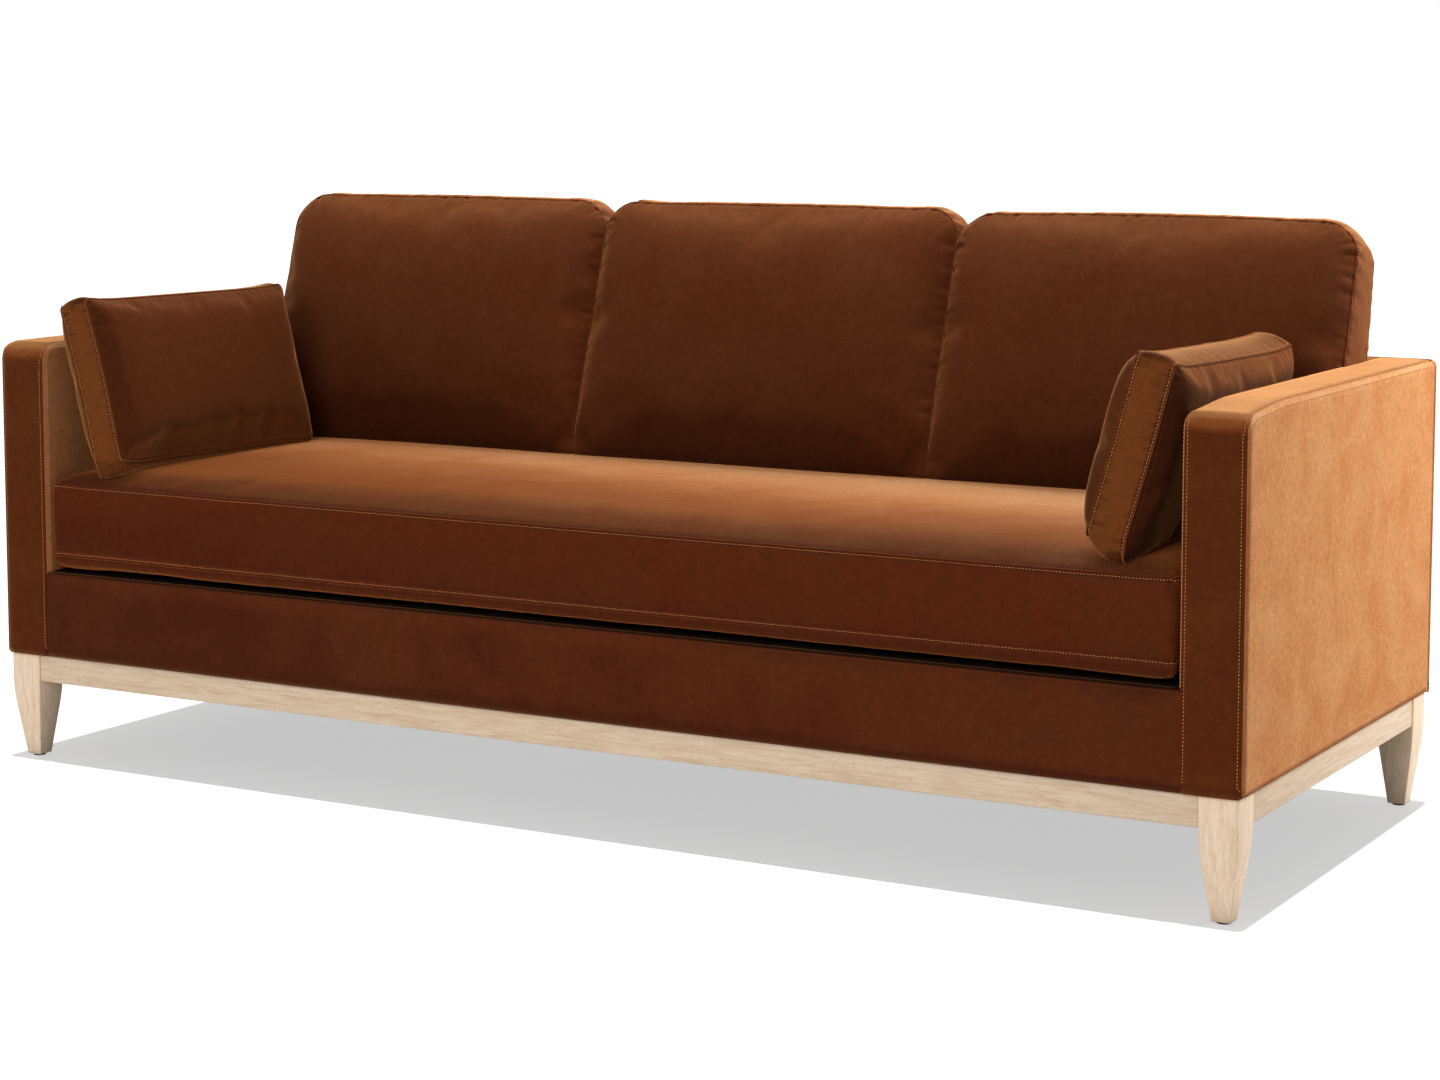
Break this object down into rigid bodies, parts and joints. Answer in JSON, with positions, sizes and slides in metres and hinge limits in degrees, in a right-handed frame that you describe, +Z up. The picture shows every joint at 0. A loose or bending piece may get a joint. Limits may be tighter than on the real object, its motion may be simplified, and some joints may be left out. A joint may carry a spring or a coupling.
{
  "type": "tuxedo sofa",
  "caption": "Tuxedo sofa with level arms and back, a bench seat cushion, loose back cushions and side bolsters on a wooden base with tapered legs.",
  "frame": {"origin": "on the floor, under the middle of the sofa", "axes": "+X along the width, +Y to the back, +Z up"},
  "size_m": [2.14, 0.84, 0.9055],
  "materials": {
    "velvet": "rust cotton velvet",
    "washed_oak": "whitewashed oak, matt",
    "frame_wood": "sawn hardwood",
    "spring_steel": "drawn spring wire",
    "dust_cloth": "black nonwoven",
    "glide_plastic": "moulded"
  },
  "bodies": {
    "root": {"back_apron": "washed_oak", "back_seat_rail": "frame_wood", "back_top_rail": "frame_wood", "back_upright_1": "frame_wood", "back_upright_2": "frame_wood", "back_upright_3": "frame_wood", "back_upright_4": "frame_wood", "base_brace_1": "washed_oak", "base_brace_2": "washed_oak", "corner_block_back_left": "frame_wood", "corner_block_back_right": "frame_wood", "corner_block_front_left": "frame_wood", "corner_block_front_right": "frame_wood", "deck_pad": "velvet", "dust_cover": "dust_cloth", "front_apron": "washed_oak", "front_border": "velvet", "front_seat_rail": "frame_wood", "glide_back_left": "glide_plastic", "glide_back_right": "glide_plastic", "glide_front_left": "glide_plastic", "glide_front_right": "glide_plastic", "inside_back_cover": "velvet", "left_apron": "washed_oak", "left_arm_back_post": "frame_wood", "left_arm_cover": "velvet", "left_arm_front_post": "frame_wood", "left_arm_top_rail": "frame_wood", "left_seat_rail": "frame_wood", "leg_back_left": "washed_oak", "leg_back_right": "washed_oak", "leg_front_left": "washed_oak", "leg_front_right": "washed_oak", "outside_back_panel": "velvet", "right_apron": "washed_oak", "right_arm_back_post": "frame_wood", "right_arm_cover": "velvet", "right_arm_front_post": "frame_wood", "right_arm_top_rail": "frame_wood", "right_seat_rail": "frame_wood", "seat_stretcher_1": "frame_wood", "seat_stretcher_2": "frame_wood", "sinuous_spring_1": "spring_steel", "sinuous_spring_10": "spring_steel", "sinuous_spring_2": "spring_steel", "sinuous_spring_3": "spring_steel", "sinuous_spring_4": "spring_steel", "sinuous_spring_5": "spring_steel", "sinuous_spring_6": "spring_steel", "sinuous_spring_7": "spring_steel", "sinuous_spring_8": "spring_steel", "sinuous_spring_9": "spring_steel", "spring_tie_wire_1": "spring_steel", "spring_tie_wire_2": "spring_steel"},
    "seat_cushion": {"seat_cushion": "velvet"},
    "back_cushion_left": {"back_cushion_left": "velvet"},
    "back_cushion_center": {"back_cushion_center": "velvet"},
    "back_cushion_right": {"back_cushion_right": "velvet"},
    "bolster_left": {"bolster_left": "velvet"},
    "bolster_right": {"bolster_right": "velvet"}
  },
  "joints": [
    {"name": "seat_cushion_lift", "type": "slide", "parent": "root", "child": "seat_cushion", "axis": [0, 0, 1], "range_m": [0, 0.4]},
    {"name": "back_cushion_left_lift", "type": "slide", "parent": "seat_cushion", "child": "back_cushion_left", "axis": [0, 0, 1], "range_m": [0, 0.3]},
    {"name": "back_cushion_center_lift", "type": "slide", "parent": "seat_cushion", "child": "back_cushion_center", "axis": [0, 0, 1], "range_m": [0, 0.3]},
    {"name": "back_cushion_right_lift", "type": "slide", "parent": "seat_cushion", "child": "back_cushion_right", "axis": [0, 0, 1], "range_m": [0, 0.3]},
    {"name": "bolster_left_lift", "type": "slide", "parent": "seat_cushion", "child": "bolster_left", "axis": [0, 0, 1], "range_m": [0, 0.25]},
    {"name": "bolster_right_lift", "type": "slide", "parent": "seat_cushion", "child": "bolster_right", "axis": [0, 0, 1], "range_m": [0, 0.25]}
  ]
}
